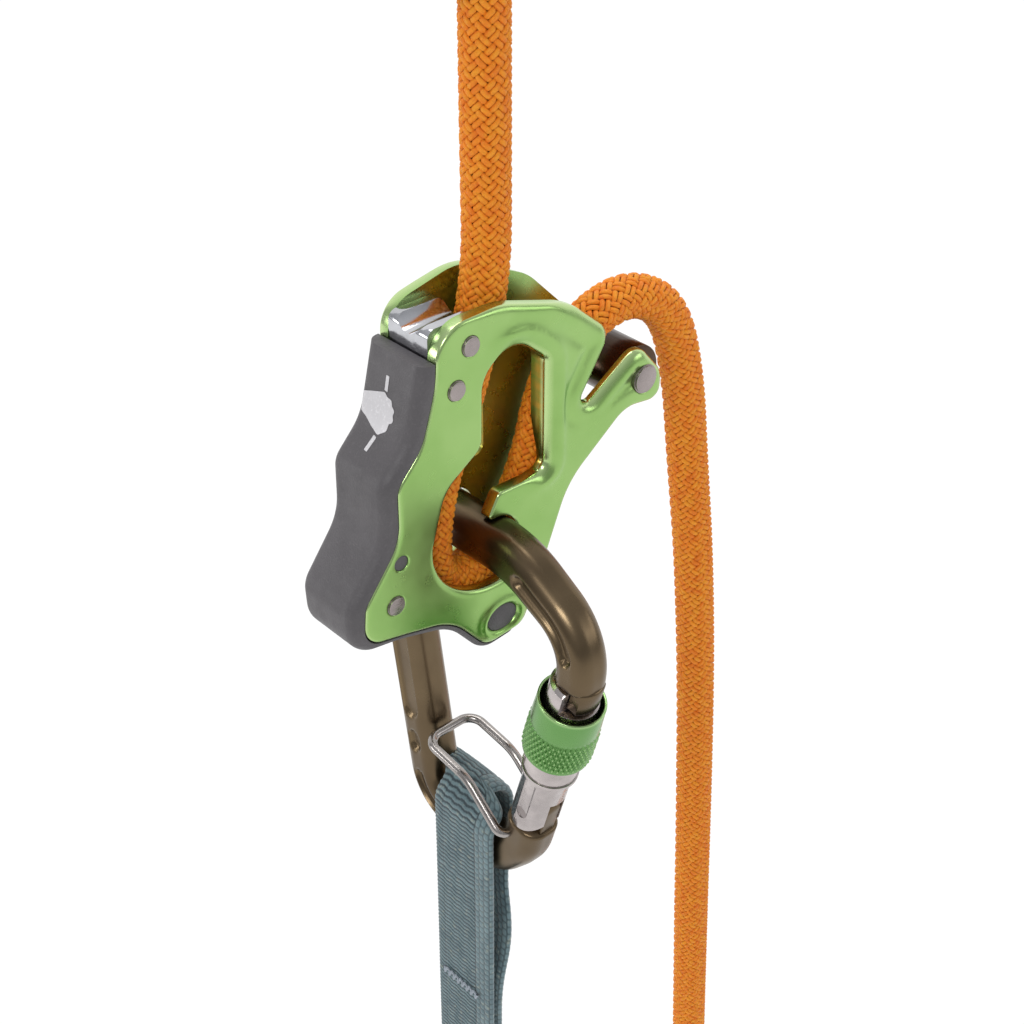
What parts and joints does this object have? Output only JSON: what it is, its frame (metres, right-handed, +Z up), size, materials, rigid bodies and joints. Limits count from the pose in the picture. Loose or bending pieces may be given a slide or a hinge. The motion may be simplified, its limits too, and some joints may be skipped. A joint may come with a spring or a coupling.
{
  "type": "belay device",
  "caption": "Assisted-braking belay device: two side plates, friction insert and grip, rigged on a rope with a screw-gate carabiner, wire keeper and webbing sling.",
  "frame": {"origin": "middle of the sewn eye at the top of the rope, midway between the side plates", "axes": "+Z up along the loaded rope, +X from the grip towards the plates' arm, +Y from the front plate towards the rear plate"},
  "size_m": [0.1272, 0.067, 0.4186],
  "materials": {
    "green_anodised": "green anodised, satin, polished edges",
    "polished_steel": "polished",
    "rivet_steel": "satin",
    "grip_plastic": "fine-grained matt",
    "rope_sheath": "two-over-two braid",
    "cover_plastic": "matt shrunk tube",
    "bronze_anodised": "bronze anodised, satin",
    "silver_anodised": "satin",
    "spring_steel": "polished wire",
    "webbing": "woven, ribbed",
    "stitching": "bar-tack thread"
  },
  "bodies": {
    "frame": {"front_side_plate": "green_anodised", "rear_side_plate": "green_anodised", "friction_insert": "polished_steel", "handle_grip": "grip_plastic", "frame_rivets": "rivet_steel", "arm_pin": "rivet_steel", "arm_spacer": "rivet_steel", "rope_load_strand": "rope_sheath", "rope_bight": "rope_sheath", "rope_brake_strand": "rope_sheath", "rope_eye": "rope_sheath", "rope_eye_tail": "rope_sheath", "rope_eye_cover": "cover_plastic", "rope_end_sleeve": "cover_plastic"},
    "carabiner": {"carabiner_body": "bronze_anodised", "gate_pin": "rivet_steel"},
    "gate": {"gate_barrel": "silver_anodised", "gate_spring": "spring_steel", "gate_plunger": "spring_steel"},
    "sleeve_slider": {"sleeve_ring": "spring_steel"},
    "sleeve": {"screw_sleeve": "green_anodised"},
    "keeper": {"keeper_wire": "spring_steel"},
    "sling": {"sling_webbing": "webbing", "sling_bar_tacks": "stitching"}
  },
  "joints": [
    {"name": "carabiner_swing", "type": "hinge", "parent": "frame", "child": "carabiner", "pos_m": [-0.0001, 0, -0.161], "axis": [0, 1, 0], "range_deg": [-12, 25]},
    {"name": "gate_hinge", "type": "hinge", "parent": "carabiner", "child": "gate", "pos_m": [-0.0001, -0.0215, -0.22198], "axis": [-1, 0, 0], "range_deg": [0, 24], "stiffness_Nm_per_rad": 0.15, "springref_deg": -17.19},
    {"name": "sleeve_travel", "type": "slide", "parent": "gate", "child": "sleeve_slider", "axis": [0, -0.2689, 0.9632], "range_m": [-0.0025, 0.0025]},
    {"name": "sleeve_turn", "type": "hinge", "parent": "sleeve_slider", "child": "sleeve", "pos_m": [-0.0001, -0.0311, -0.1876], "axis": [0, -0.2689, 0.9632], "range_deg": [-360, 360]},
    {"name": "keeper_hinge", "type": "hinge", "parent": "carabiner", "child": "keeper", "pos_m": [-0.0001, -0.0168, -0.2316], "axis": [1, 0, 0], "range_deg": [0, 38], "stiffness_Nm_per_rad": 0.03, "springref_deg": -11.46},
    {"name": "sling_swing", "type": "hinge", "parent": "carabiner", "child": "sling", "pos_m": [-0.0001, 0, -0.242], "axis": [0, 1, 0], "range_deg": [-5, 5]}
  ],
  "couplings": [
    {"joint": "sleeve_turn", "follows": "sleeve_travel", "rad_per_m": 2500}
  ]
}
